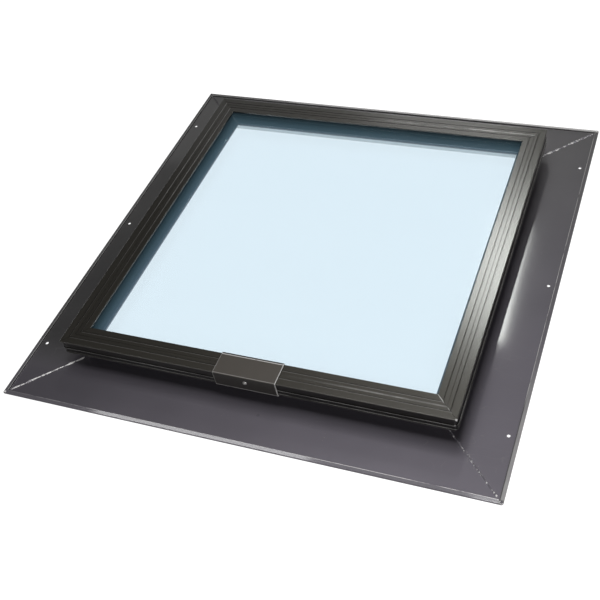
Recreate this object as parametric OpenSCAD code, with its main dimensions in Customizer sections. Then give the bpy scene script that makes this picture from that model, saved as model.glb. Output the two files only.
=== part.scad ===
// Fixed square roof skylight, lying flat on its flange.
// Millimetres, +Z up. The origin is the centre of the underside.
// The sill (lower) side faces -Y, the head (upper) side faces +Y.
// Sections are drawn as u outward from the centre line and z up.

/* [Roof opening] */
// Clear width of the square opening framed in the roof
rough_opening = 571.5; // [450:0.5:700]
// Space between the framed opening and the inside of the curb wall
opening_clearance = 4; // [2:0.25:8]

/* [Flashing] */
// Thickness of the folded flashing sheet
sheet = 1.2; // [0.8:0.1:1.8]
// How far the flange covers the roof beyond the framed opening
flange_cover = 101.6; // [75:0.1:140]
// Radius of the outer corners of the flange
flange_corner_radius = 4; // [2:0.5:6]
// Width of the hem folded back on the flange edge
hem_width = 6.5; // [5:0.5:10]
// Angle at which the hem stands open
hem_lift = 12; // [4:1:25]
// Space left inside a closed fold
hem_gap = 0.3; // [0.2:0.05:0.6]
// Inside radius of the open folds
fold_radius = 1.5; // [0.8:0.1:3]
// Height of the glass seat above the roof
seat_height = 33.2; // [28:0.1:42]
// How far the seat reaches inward from the curb wall
seat_inner_reach = 23.75; // [16:0.25:30]
// How far the seat reaches outward from the curb wall
seat_outer_reach = 12.5; // [10:0.25:15]
// Height of the drop folded down at the inner edge of the seat
seat_drop = 4.7; // [4:0.1:12]
// Space left between two mitred flashing lengths
mitre_gap = 0.3; // [0.1:0.05:0.6]

/* [Nail holes] */
// Diameter of a nail hole
nail_hole_diameter = 5; // [3:0.5:7]
// Distance from the flange edge to the nail holes
nail_edge = 16; // [12:0.5:25]
// Distance from the middle nail hole to the end ones
nail_pitch = 282; // [200:1:330]

/* [Corner welds] */
// Width of the weld bead on a flange mitre
weld_width = 4; // [2:0.5:6]
// Height of the weld bead above the flange
weld_height = 0.8; // [0.4:0.1:1.5]
// Radius of the weld bead up the corner of the curb wall
wall_weld_radius = 1.4; // [0.8:0.1:2]

/* [Glass unit] */
// Thickness of each pane
pane_thickness = 4; // [3:0.5:6]
// Space between the two panes
air_gap = 8; // [6:0.5:12]
// How far the glass edge stays inside the edge of the seat
glass_setback = 0.5; // [0.25:0.25:2]
// Radius of the corners of the panes
pane_corner_radius = 2; // [1:0.5:4]
// Depth of the seal round the edge of the unit
edge_seal_depth = 7; // [5:0.5:9]
// Width of a spacer bar
spacer_width = 7; // [5:0.5:8]
// Wall of a spacer bar
spacer_wall = 0.5; // [0.3:0.1:0.8]
// Thickness of the butyl seal between a spacer bar and a pane
butyl_thickness = 0.3; // [0.2:0.05:0.6]
// Width of the butyl seal
butyl_width = 5; // [3:0.5:5]
// Length of the plug of a corner key inside a spacer bar
key_plug = 20; // [12:1:35]
// Clearance of the key plugs and the drying fill inside a spacer bar
spacer_clearance = 0.15; // [0.1:0.05:0.3]

/* [Glazing] */
// Thickness of the tape between the glass and its seat
tape_thickness = 1.6; // [1:0.1:3]
// Width of the tape
tape_width = 12; // [8:0.5:14]
// Distance from the glass edge to the tape
tape_inset = 4; // [2:0.5:8]
// Thickness of the gasket between the glass and the frame lip
gasket_thickness = 1.7; // [1:0.1:3]
// Width of the gasket
gasket_width = 10; // [7:0.5:16]
// Distance from the edge of the frame lip to the gasket
gasket_inset = 0.8; // [0.4:0.1:2]
// Thickness of the rubber blocks between the glass edge and the frame
block_thickness = 4; // [3.5:0.25:6]
// Length of a rubber block
block_length = 60; // [40:5:100]
// Height of a rubber block
block_height = 14; // [8:1:16]

/* [Retaining frame] */
// Width of the face of the frame, seen from above
frame_face = 36; // [31:0.5:44]
// Thickness of the frame lip over the glass
lip_thickness = 2; // [1.6:0.1:3]
// Thickness of the frame skirt
skirt_wall = 1.8; // [1.2:0.1:2.5]
// How far the beads of the skirt stand out
bead_reach = 1.25; // [0.8:0.05:2]
// Height of the upper bead of the skirt
bead_height = 1.6; // [1:0.1:1.6]
// Height of the middle of the upper bead above the bottom of the frame
bead_rise = 11.2; // [7:0.2:15]
// Outside radius of the bent corners of the skirt
skirt_bend_radius = 5.5; // [3.5:0.25:8]
// Thickness of the hook under the seat
hook_thickness = 1.4; // [1.2:0.1:2.5]
// How far the hook reaches in under the seat
hook_reach = 6.5; // [4:0.5:8]
// Space between the hook and the seat
hook_clearance = 0.3; // [0.2:0.1:0.8]
// Radius of the upper edges of the lip
lip_edge_radius = 0.8; // [0.4:0.1:1.2]
// Width of the two wide grooves in the face
groove_width = 2.2; // [1.2:0.1:3]
// Depth of the two wide grooves
groove_depth = 0.9; // [0.4:0.1:1.1]
// Distance from the outer edge to the outer groove
outer_groove_inset = 11.8; // [9:0.2:13]
// Distance from the outer edge to the fine middle line
middle_groove_inset = 18.4; // [16:0.2:20]
// Distance from the outer edge to the inner groove
inner_groove_inset = 25.2; // [23:0.2:27]
// Width of the fine middle line
fine_groove_width = 1; // [0.5:0.1:1.6]
// Depth of the fine middle line
fine_groove_depth = 0.4; // [0.2:0.1:0.8]
// Width of the cut where the lip is folded round a corner
corner_seam = 0.3; // [0.2:0.05:0.6]
// Space between the two ends of the frame
end_gap = 0.5; // [0.2:0.1:1]

/* [Joint clip] */
// Length of the clip along the sill rail
clip_length = 98; // [80:1:140]
// Thickness of the clip sheet
clip_sheet = 1.2; // [0.8:0.1:1.5]
// Space between the clip and the frame
clip_clearance = 0.3; // [0.1:0.05:0.5]
// Inside radius of the folds of the clip
clip_fold_radius = 0.4; // [0.2:0.1:0.8]
// Length of the clip fold over the edge of the lip
clip_drop = 3; // [2.5:0.25:3.5]
// How far the clip hooks in under the frame
clip_hook = 8; // [5:0.5:12]
// Diameter of the screw shank
screw_diameter = 3.5; // [3:0.25:5]
// Diameter of the screw head
screw_head_diameter = 6.6; // [6:0.2:10]
// Height of the screw head
screw_head_height = 2; // [1.4:0.1:2.6]
// Length of the screw tip behind the backing plate
screw_tip = 0.6; // [0.3:0.1:1]
// Clearance round the screw in the clip and the frame
screw_clearance = 0.3; // [0.2:0.05:0.5]
// Clearance round the screw in the backing plate
thread_clearance = 0.05; // [0.02:0.01:0.1]
// Length of the backing plate
plate_length = 70; // [50:1:80]
// Height of the backing plate
plate_height = 14; // [10:0.5:16]
// Thickness of the backing plate
plate_thickness = 1.5; // [1:0.1:2]

/* [Hidden] */
$fn = 48;
// Overrun of every cut past the face that it cuts
overrun = 1;
// Angles of the sill, right, head and left sides about Z
sill_turn = 0;
right_turn = 90;
head_turn = 180;
left_turn = 270;
side_turns = [sill_turn, right_turn, head_turn, left_turn];
// Angles of the corners about Z
far_right_turn = 45;
far_left_turn = 135;
near_left_turn = 225;
near_right_turn = 315;
corner_turns = [far_right_turn, far_left_turn, near_left_turn, near_right_turn];

// Flashing, from the centre outward
half_opening = rough_opening / 2;
wall_inner = half_opening + opening_clearance;
wall_outer = wall_inner + sheet;
seat_inner = wall_inner - seat_inner_reach;
seat_outer = wall_outer + seat_outer_reach;
flange_half = half_opening + flange_cover;
hem_radius = sheet + hem_gap / 2;
nail_u = flange_half - nail_edge;

// Heights, from the roof upward
seat_low = seat_height - 2 * sheet - hem_gap;
glass_low = seat_height + tape_thickness;
air_low = glass_low + pane_thickness;
air_high = air_low + air_gap;
glass_high = air_high + pane_thickness;
lip_low = glass_high + gasket_thickness;
frame_top = lip_low + lip_thickness;
hook_low = seat_low - hook_clearance - hook_thickness;
bead_middle = hook_low + bead_rise;

// Glass unit, from the centre outward
glass_half = seat_outer - glass_setback;
spacer_outer = glass_half - edge_seal_depth;
spacer_inner = spacer_outer - spacer_width;
spacer_low = air_low + butyl_thickness;
spacer_high = air_high - butyl_thickness;
spacer_height = spacer_high - spacer_low;
hollow_width = spacer_width - 2 * spacer_wall;
hollow_height = spacer_height - 2 * spacer_wall;
fill_width = hollow_width - 2 * spacer_clearance;
fill_height = hollow_height - 2 * spacer_clearance;
spacer_middle = (spacer_low + spacer_high) / 2;
tape_outer = glass_half - tape_inset;
tape_inner = tape_outer - tape_width;

// Retaining frame, from the centre outward
skirt_inner = glass_half + block_thickness;
skirt_face = skirt_inner + skirt_wall;
frame_half = skirt_face + bead_reach;
lip_inner = frame_half - frame_face;
hook_inner = seat_outer - hook_reach;
bend_centre = skirt_face - skirt_bend_radius;
gasket_inner = lip_inner + gasket_inset;
// Part of the skirt wall that the hook and the lip run into
lap_share = 0.25;
// Width of a groove floor against its mouth
groove_floor_share = 0.5;

// Joint clip and its screw
clip_low = hook_low - clip_clearance - clip_sheet;
clip_top = frame_top + clip_clearance + clip_sheet;
clip_inner = lip_inner - clip_clearance - clip_sheet;
clip_front = frame_half + clip_clearance + clip_sheet;
// Height of the screw as a share of the height of the frame
screw_height_share = 0.61;
screw_height = hook_low + screw_height_share * (frame_top - hook_low);
plate_inner = skirt_inner - plate_thickness;
// Size of the cross in the screw head against the head
cross_length_share = 0.6;
cross_width_share = 0.14;
cross_depth_share = 0.5;

// Finishes
flashing_colour = [0.36, 0.34, 0.37];
weld_colour = [0.66, 0.66, 0.67];
frame_colour = [0.22, 0.20, 0.18];
clip_colour = [0.29, 0.27, 0.25];
glass_colour = [0.72, 0.86, 0.93, 0.4];
metal_colour = [0.74, 0.75, 0.76];
spacer_colour = [0.20, 0.22, 0.23];
plastic_colour = [0.55, 0.56, 0.57];
fill_colour = [0.85, 0.80, 0.70];
rubber_colour = [0.07, 0.07, 0.08];
tape_colour = [0.15, 0.17, 0.18];
screw_colour = [0.62, 0.62, 0.63];

// Rectangle of a section between two corners
module bar(u_from, z_from, u_to, z_to) {
    translate([u_from, z_from])
        square([u_to - u_from, z_to - z_from]);
}

// Quarter turn of a bent sheet about the point u, z
module quarter_fold(u, z, inside, thickness, turn) {
    translate([u, z])
        rotate(turn)
            intersection() {
                difference() {
                    circle(inside + thickness);
                    circle(inside);
                }
                square(inside + thickness);
            }
}

// Fold of a hem about the point u, z, turned back until its leaf stands open by the lift
module hem_fold(u, z, inside, thickness, lift) {
    reach = inside + thickness + overrun;
    translate([u, z])
        intersection() {
            difference() {
                circle(inside + thickness);
                circle(inside);
            }
            polygon([[0, 0], [0, -reach], [reach, -reach], [reach, reach], [reach * tan(lift), reach]]);
        }
}

// Flat bar with both upper corners rounded
module soft_bar(u_from, z_from, u_to, z_to, radius) {
    bar(u_from, z_from, u_to, z_to - radius);
    bar(u_from + radius, z_from, u_to - radius, z_to);
    for (u = [u_from + radius, u_to - radius])
        translate([u, z_to - radius])
            circle(radius);
}

// Section carried along one side of the square
module along_side(turn, length) {
    rotate(turn)
        rotate([90, 0, -90])
            linear_extrude(length, center = true)
                children();
}

// Wedge of plan that one side of the square takes up
module mitre_wedge(turn, gap) {
    reach = flange_half + overrun;
    rotate(turn)
        translate([0, -gap / sqrt(2), -overrun])
            linear_extrude(clip_top + 2 * overrun)
                polygon([[0, 0], [-reach, -reach], [reach, -reach]]);
}

// Section carried round the square with mitred corners
module mitred_ring(reach) {
    for (turn = side_turns)
        intersection() {
            along_side(turn, 2 * reach)
                children();
            mitre_wedge(turn, 0);
        }
}

// Section carried round the square with bent corners
module bent_ring(centre) {
    for (turn = side_turns) {
        along_side(turn, 2 * centre)
            children();
        rotate(turn)
            translate([centre, -centre, 0])
                rotate(-90)
                    rotate_extrude(angle = 90)
                        translate([-centre, 0])
                            children();
    }
}

// Square plate with rounded corners
module round_plate(half, low, high, radius) {
    inside = half - radius;
    translate([0, 0, low])
        linear_extrude(high - low) {
            square([2 * half, 2 * inside], center = true);
            square([2 * inside, 2 * half], center = true);
            for (x = [-inside, inside], y = [-inside, inside])
                translate([x, y])
                    circle(radius);
        }
}

// Square ring with sharp corners
module square_ring(outer, inner, low, high) {
    translate([0, 0, low])
        linear_extrude(high - low)
            difference() {
                square(2 * outer, center = true);
                square(2 * inner, center = true);
            }
}

// Folded sheet: hemmed flange, curb wall, doubled seat and drop
module flashing_section() {
    fold_outside = fold_radius + sheet;
    hem_centre = flange_half - hem_radius;
    seat_centre = seat_outer - hem_radius;
    seat_upper = seat_height - sheet;
    bar(wall_outer + fold_radius, 0, hem_centre, sheet);
    hem_fold(hem_centre, hem_radius, hem_gap / 2, sheet, hem_lift);
    translate([hem_centre, hem_radius])
        rotate(-hem_lift)
            bar(hem_radius - hem_width, hem_gap / 2, 0, hem_radius);
    for (turn = [0, -90])
        quarter_fold(seat_centre, seat_low + hem_radius, hem_gap / 2, sheet, turn);
    quarter_fold(wall_outer + fold_radius, fold_outside, fold_radius, sheet, 180);
    bar(wall_inner, fold_outside, wall_outer, seat_low - fold_radius);
    quarter_fold(wall_outer + fold_radius, seat_low - fold_radius, fold_radius, sheet, 90);
    bar(wall_outer + fold_radius, seat_low, seat_centre, seat_low + sheet);
    bar(seat_inner + fold_outside, seat_upper, seat_centre, seat_height);
    quarter_fold(seat_inner + fold_outside, seat_upper - fold_radius, fold_radius, sheet, 90);
    bar(seat_inner, seat_height - seat_drop, seat_inner + sheet, seat_upper - fold_radius);
}

module flashing_length(turn) {
    intersection() {
        along_side(turn, 2 * flange_half)
            flashing_section();
        mitre_wedge(turn, mitre_gap);
        round_plate(flange_half, -overrun, clip_top, flange_corner_radius);
    }
}

// Nail holes along one side flange
module nail_holes(u) {
    for (y = [-nail_pitch, 0, nail_pitch])
        translate([u, y, -overrun])
            cylinder(h = sheet + 2 * overrun, d = nail_hole_diameter);
}

module flashing_sill() {
    color(flashing_colour)
        flashing_length(sill_turn);
}

module flashing_head() {
    color(flashing_colour)
        flashing_length(head_turn);
}

module flashing_right() {
    color(flashing_colour)
        difference() {
            flashing_length(right_turn);
            nail_holes(nail_u);
        }
}

module flashing_left() {
    color(flashing_colour)
        difference() {
            flashing_length(left_turn);
            nail_holes(-nail_u);
        }
}

// Weld on one corner: a low bead along the flange mitre and one up the curb wall
module corner_weld(turn) {
    bead_radius = (weld_width * weld_width / 4 + weld_height * weld_height) / (2 * weld_height);
    run_start = (wall_outer + fold_radius) * sqrt(2) + weld_width / 2;
    run_end = (flange_half - hem_width) * sqrt(2) - weld_width;
    wall_low = sheet + fold_radius;
    color(weld_colour)
        rotate(turn) {
            translate([run_start, 0, sheet])
                rotate([90, 0, 90])
                    linear_extrude(run_end - run_start)
                        intersection() {
                            translate([0, weld_height - bead_radius])
                                circle(bead_radius);
                            translate([-weld_width / 2, 0])
                                square([weld_width, weld_height]);
                        }
            translate([wall_outer * sqrt(2), 0, wall_low])
                linear_extrude(seat_low - fold_radius - wall_low)
                    difference() {
                        circle(wall_weld_radius);
                        rotate(135)
                            square(2 * wall_weld_radius);
                    }
        }
}

// Tape strips: sill and head run through, left and right butt between them
module glazing_tape(turn, half_length) {
    color(tape_colour)
        along_side(turn, 2 * half_length)
            bar(tape_inner, seat_height, tape_outer, glass_low);
}

module inner_pane() {
    color(glass_colour)
        round_plate(glass_half, glass_low, air_low, pane_corner_radius);
}

module outer_pane() {
    color(glass_colour)
        round_plate(glass_half, air_high, glass_high, pane_corner_radius);
}

module inner_butyl_seal() {
    color(rubber_colour)
        square_ring(spacer_outer, spacer_outer - butyl_width, air_low, spacer_low);
}

module outer_butyl_seal() {
    color(rubber_colour)
        square_ring(spacer_outer, spacer_outer - butyl_width, spacer_high, air_high);
}

module edge_seal() {
    color(rubber_colour)
        difference() {
            round_plate(glass_half, air_low, air_high, pane_corner_radius);
            translate([0, 0, air_low - overrun])
                linear_extrude(air_gap + 2 * overrun)
                    square(2 * spacer_outer, center = true);
        }
}

// Hollow bar between two corner keys
module spacer_bar(turn) {
    color(spacer_colour)
        along_side(turn, 2 * spacer_inner)
            difference() {
                bar(spacer_inner, spacer_low, spacer_outer, spacer_high);
                bar(spacer_inner + spacer_wall, spacer_low + spacer_wall,
                    spacer_outer - spacer_wall, spacer_high - spacer_wall);
            }
}

// Section of what fits inside a spacer bar
module spacer_fill_section() {
    translate([(spacer_inner + spacer_outer) / 2, spacer_middle])
        square([fill_width, fill_height], center = true);
}

// Corner block with a plug into each of the two bars that it joins
module spacer_corner_keys() {
    color(plastic_colour)
        for (turn = side_turns) {
            rotate(turn)
                translate([spacer_inner, -spacer_outer, spacer_low])
                    cube([spacer_width, spacer_width, spacer_height]);
            for (plug_end = [-1, 1])
                rotate(turn)
                    translate([plug_end * (spacer_inner - key_plug / 2), 0, 0])
                        along_side(sill_turn, key_plug)
                            spacer_fill_section();
        }
}

module desiccant() {
    fill_half = spacer_inner - key_plug - spacer_clearance;
    color(fill_colour)
        for (turn = side_turns)
            along_side(turn, 2 * fill_half)
                spacer_fill_section();
}

// Rubber block between the glass edge and the skirt
module glass_block(turn, along) {
    middle = (glass_low + glass_high) / 2;
    color(rubber_colour)
        rotate(turn)
            translate([along - block_length / 2, -skirt_inner, middle - block_height / 2])
                cube([block_length, block_thickness, block_height]);
}

module setting_blocks() {
    for (along = [-glass_half / 2, glass_half / 2])
        glass_block(sill_turn, along);
}

module edge_blocks() {
    for (turn = [right_turn, left_turn])
        glass_block(turn, 0);
}

// Gasket strip with a rounded nose at the edge of the lip
module frame_gasket() {
    nose = gasket_thickness / 2;
    color(rubber_colour)
        mitred_ring(frame_half) {
            bar(gasket_inner + nose, glass_high, gasket_inner + gasket_width, lip_low);
            translate([gasket_inner + nose, glass_high + nose])
                circle(nose);
        }
}

// Groove in the face of the frame
module face_groove(inset, width, depth) {
    mouth = width / 2;
    floor_half = mouth * groove_floor_share;
    u = frame_half - inset;
    polygon([
        [u - mouth, frame_top + overrun], [u + mouth, frame_top + overrun], [u + mouth, frame_top],
        [u + floor_half, frame_top - depth], [u - floor_half, frame_top - depth], [u - mouth, frame_top]
    ]);
}

// Grooved lip over the glass
module lip_section() {
    difference() {
        soft_bar(lip_inner, lip_low, frame_half, frame_top, lip_edge_radius);
        face_groove(outer_groove_inset, groove_width, groove_depth);
        face_groove(middle_groove_inset, fine_groove_width, fine_groove_depth);
        face_groove(inner_groove_inset, groove_width, groove_depth);
    }
}

// Bead along the skirt with a rounded nose
module skirt_bead(middle, height) {
    nose = height / 2;
    bar(skirt_inner, middle - nose, frame_half - nose, middle + nose);
    translate([frame_half - nose, middle])
        circle(nose);
}

// Skirt with an upper bead and a foot bead
module skirt_section() {
    bar(skirt_inner, hook_low, skirt_face, lip_low + lip_thickness / 2);
    skirt_bead(bead_middle, bead_height);
    skirt_bead(hook_low + bead_reach, 2 * bead_reach);
}

// Hook that reaches in under the seat
module hook_section() {
    bar(hook_inner, hook_low, skirt_inner + skirt_wall * lap_share, hook_low + hook_thickness);
}

// Cut along a corner where a flat part of the frame is folded round
module corner_cut(turn, inner, outer, low, high) {
    length = (outer - inner) * sqrt(2);
    rotate(turn)
        translate([inner * sqrt(2), -corner_seam / 2, low])
            cube([length, corner_seam, high - low]);
}

// Hole for the clip screw through the sill rail
module screw_hole(diameter) {
    translate([0, -clip_front - overrun, screw_height])
        rotate([-90, 0, 0])
            cylinder(h = clip_front - plate_inner + 2 * overrun, d = diameter);
}

// One length of C section, folded at four corners, with its ends at the middle of the sill
module retaining_frame() {
    color(frame_colour)
        difference() {
            union() {
                mitred_ring(frame_half)
                    lip_section();
                bent_ring(bend_centre)
                    skirt_section();
                mitred_ring(frame_half)
                    hook_section();
            }
            for (turn = corner_turns) {
                corner_cut(turn, lip_inner - overrun, frame_half + overrun, lip_low - overrun, frame_top + overrun);
                corner_cut(turn, hook_inner - overrun, bend_centre, hook_low - overrun, seat_low);
            }
            translate([-end_gap / 2, -frame_half - overrun, hook_low - overrun])
                cube([end_gap, frame_face + 2 * overrun, frame_top - hook_low + 2 * overrun]);
            screw_hole(screw_diameter + 2 * screw_clearance);
        }
}

// Bent sheet over the lip, down the skirt and under the foot
module clip_section() {
    fold_outside = clip_fold_radius + clip_sheet;
    bar(clip_inner, clip_top - clip_drop, clip_inner + clip_sheet, clip_top - fold_outside);
    quarter_fold(clip_inner + fold_outside, clip_top - fold_outside, clip_fold_radius, clip_sheet, 90);
    bar(clip_inner + fold_outside, clip_top - clip_sheet, clip_front - fold_outside, clip_top);
    quarter_fold(clip_front - fold_outside, clip_top - fold_outside, clip_fold_radius, clip_sheet, 0);
    bar(clip_front - clip_sheet, clip_low + fold_outside, clip_front, clip_top - fold_outside);
    quarter_fold(clip_front - fold_outside, clip_low + fold_outside, clip_fold_radius, clip_sheet, -90);
    bar(frame_half - clip_hook, clip_low, clip_front - fold_outside, clip_low + clip_sheet);
}

module joint_clip() {
    color(clip_colour)
        difference() {
            along_side(sill_turn, clip_length)
                clip_section();
            screw_hole(screw_diameter + 2 * screw_clearance);
        }
}

module joint_backing_plate() {
    color(metal_colour)
        difference() {
            translate([-plate_length / 2, -skirt_inner, screw_height - plate_height / 2])
                cube([plate_length, plate_thickness, plate_height]);
            screw_hole(screw_diameter + 2 * thread_clearance);
        }
}

// Pan head screw with a cross, driven in from the front of the clip
module clip_screw() {
    head_radius = screw_head_diameter / 2;
    dome_radius = (head_radius * head_radius + screw_head_height * screw_head_height) / (2 * screw_head_height);
    cross_length = cross_length_share * screw_head_diameter;
    cross_width = cross_width_share * screw_head_diameter;
    cross_depth = cross_depth_share * screw_head_height;
    shank_length = clip_front - plate_inner + screw_tip;
    color(screw_colour)
        translate([0, -clip_front, screw_height])
            rotate([90, 0, 0])
                difference() {
                    union() {
                        rotate_extrude()
                            intersection() {
                                translate([0, screw_head_height - dome_radius])
                                    circle(dome_radius);
                                square([head_radius, screw_head_height]);
                            }
                        translate([0, 0, -shank_length])
                            cylinder(h = shank_length, d = screw_diameter);
                    }
                    for (turn = [0, 90])
                        rotate(turn)
                            translate([-cross_length / 2, -cross_width / 2, screw_head_height - cross_depth])
                                cube([cross_length, cross_width, cross_depth + overrun]);
                }
}

flashing_sill();
flashing_right();
flashing_head();
flashing_left();
corner_weld(far_right_turn);  // corner_weld_far_right
corner_weld(far_left_turn);  // corner_weld_far_left
corner_weld(near_left_turn);  // corner_weld_near_left
corner_weld(near_right_turn);  // corner_weld_near_right
glazing_tape(sill_turn, tape_outer);  // glazing_tape_sill
glazing_tape(right_turn, tape_inner);  // glazing_tape_right
glazing_tape(head_turn, tape_outer);  // glazing_tape_head
glazing_tape(left_turn, tape_inner);  // glazing_tape_left
inner_pane();
outer_pane();
inner_butyl_seal();
outer_butyl_seal();
edge_seal();
spacer_bar(sill_turn);  // spacer_sill
spacer_bar(right_turn);  // spacer_right
spacer_bar(head_turn);  // spacer_head
spacer_bar(left_turn);  // spacer_left
spacer_corner_keys();
desiccant();
setting_blocks();
edge_blocks();
frame_gasket();
retaining_frame();
joint_clip();
joint_backing_plate();
clip_screw();
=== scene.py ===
"""Looks of a fixed square roof skylight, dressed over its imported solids."""
import math
import random

import bmesh
import bpy
from bpy.props import FloatProperty, FloatVectorProperty, IntProperty, PointerProperty
from mathutils import Matrix, Quaternion, Vector, noise


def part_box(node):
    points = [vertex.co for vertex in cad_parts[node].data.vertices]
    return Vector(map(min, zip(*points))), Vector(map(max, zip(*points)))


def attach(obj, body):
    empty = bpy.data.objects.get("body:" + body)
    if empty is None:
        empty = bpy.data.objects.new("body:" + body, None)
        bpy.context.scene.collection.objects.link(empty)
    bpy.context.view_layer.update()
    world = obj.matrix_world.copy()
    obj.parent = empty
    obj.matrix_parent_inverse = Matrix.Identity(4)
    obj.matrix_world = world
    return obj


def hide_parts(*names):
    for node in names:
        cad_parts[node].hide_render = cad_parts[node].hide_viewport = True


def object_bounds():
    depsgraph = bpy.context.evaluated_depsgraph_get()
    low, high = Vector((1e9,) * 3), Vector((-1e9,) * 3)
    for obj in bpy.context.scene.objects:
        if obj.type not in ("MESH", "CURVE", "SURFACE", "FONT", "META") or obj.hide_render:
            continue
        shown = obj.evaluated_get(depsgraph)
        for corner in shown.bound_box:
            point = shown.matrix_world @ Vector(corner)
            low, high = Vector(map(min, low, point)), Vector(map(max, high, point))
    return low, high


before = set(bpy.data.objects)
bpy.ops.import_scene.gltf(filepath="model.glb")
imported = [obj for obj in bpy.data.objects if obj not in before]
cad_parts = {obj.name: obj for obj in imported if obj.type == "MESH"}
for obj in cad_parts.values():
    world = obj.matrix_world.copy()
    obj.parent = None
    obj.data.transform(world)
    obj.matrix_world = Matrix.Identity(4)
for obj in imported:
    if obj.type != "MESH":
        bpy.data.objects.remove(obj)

bl_info = {
    "name": "Roof Skylight",
    "version": (1, 0, 0),
    "blender": (4, 5, 0),
    "location": "3D View > Sidebar > Skylight",
    "description": "Dresses the solids of a fixed roof skylight and sets a studio round it",
    "category": "Object",
}

MM = 0.001
BODY = "root"
CAD_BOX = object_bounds()
WHITE = (1.0, 1.0, 1.0, 1.0)
SIDES = ("sill", "right", "head", "left")
CORNERS = {"far_right": (1, 1), "far_left": (-1, 1), "near_left": (-1, -1), "near_right": (1, -1)}

# Sizes read from the frame, in metres
FLANGE_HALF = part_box("flashing_right")[1].x
FRAME_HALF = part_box("retaining_frame")[1].x
FRAME_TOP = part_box("retaining_frame")[1].z
CLIP_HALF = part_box("joint_clip")[1].x
CLIP_FRONT, CLIP_INNER = (-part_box("joint_clip")[i].y for i in (0, 1))
CLIP_LOW, CLIP_TOP = (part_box("joint_clip")[i].z for i in (0, 1))
WELD_START, WELD_END = (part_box("corner_weld_far_right")[i].x for i in (0, 1))
WELD_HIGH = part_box("corner_weld_far_right")[1].z

# Sizes of the sheet and the welds
SHEET = 1.2 * MM
HEM_WIDTH = 6.35 * MM
HEM_INNER = FLANGE_HALF - HEM_WIDTH
HEM_TOP = 3.77 * MM
BEAD_HEIGHT = 0.8 * MM
WALL_BEAD_RADIUS = 1.4 * MM
WALL_BEAD_LOW = 2.7 * MM
WALL_CORNER = (WELD_START + WALL_BEAD_RADIUS) * math.sqrt(2)
WALL_INNER = WELD_START + WALL_BEAD_RADIUS - SHEET
FLANGE_BEAD_START = WALL_CORNER + 4.2 * MM
FLANGE_BEAD_END = WELD_END * math.sqrt(2) - 2 * MM


# Shader maths

class Wire:
    """One output socket. Python's operators on it add Math nodes."""

    def __init__(self, nodes, socket):
        self.nodes = nodes
        self.socket = socket

    def maths(self, operation, *values):
        return self.nodes.node("ShaderNodeMath", {"operation": operation}, dict(enumerate(values)))

    def __add__(self, other):
        return self.maths("ADD", self, other)

    def __radd__(self, other):
        return self.maths("ADD", other, self)

    def __sub__(self, other):
        return self.maths("SUBTRACT", self, other)

    def __rsub__(self, other):
        return self.maths("SUBTRACT", other, self)

    def __mul__(self, other):
        return self.maths("MULTIPLY", self, other)

    def __rmul__(self, other):
        return self.maths("MULTIPLY", other, self)

    def __gt__(self, other):
        return self.maths("GREATER_THAN", self, other)

    def __lt__(self, other):
        return self.maths("LESS_THAN", self, other)

    def __abs__(self):
        return self.maths("ABSOLUTE", self)

    def least(self, other):
        return self.maths("MINIMUM", self, other)

    def most(self, other):
        return self.maths("MAXIMUM", self, other)

    def rise(self, low, high):
        """0 below low, 1 above high and a smooth step between; falls if high is below low."""
        values = {"Value": self, "From Min": low, "From Max": high}
        return self.nodes.node("ShaderNodeMapRange", {"interpolation_type": "SMOOTHSTEP"}, values)

    def near(self, value, reach):
        """1 at the value, falling to 0 at reach from it."""
        return abs(self - value).rise(reach, 0)


class Nodes:
    """A node tree being filled."""

    def __init__(self, tree):
        self.tree = tree
        self.tree.nodes.clear()

    def node(self, kind, settings=None, inputs=None, out=0):
        """A node of that type, with its settings made first and then its sockets' values or links."""
        made = self.tree.nodes.new(kind)
        for name, value in (settings or {}).items():
            setattr(made, name, value)
        for key, value in (inputs or {}).items():
            if isinstance(value, Wire):
                self.tree.links.new(value.socket, made.inputs[key])
            else:
                made.inputs[key].default_value = value
        return Wire(self, made.outputs[out]) if made.outputs else None


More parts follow.
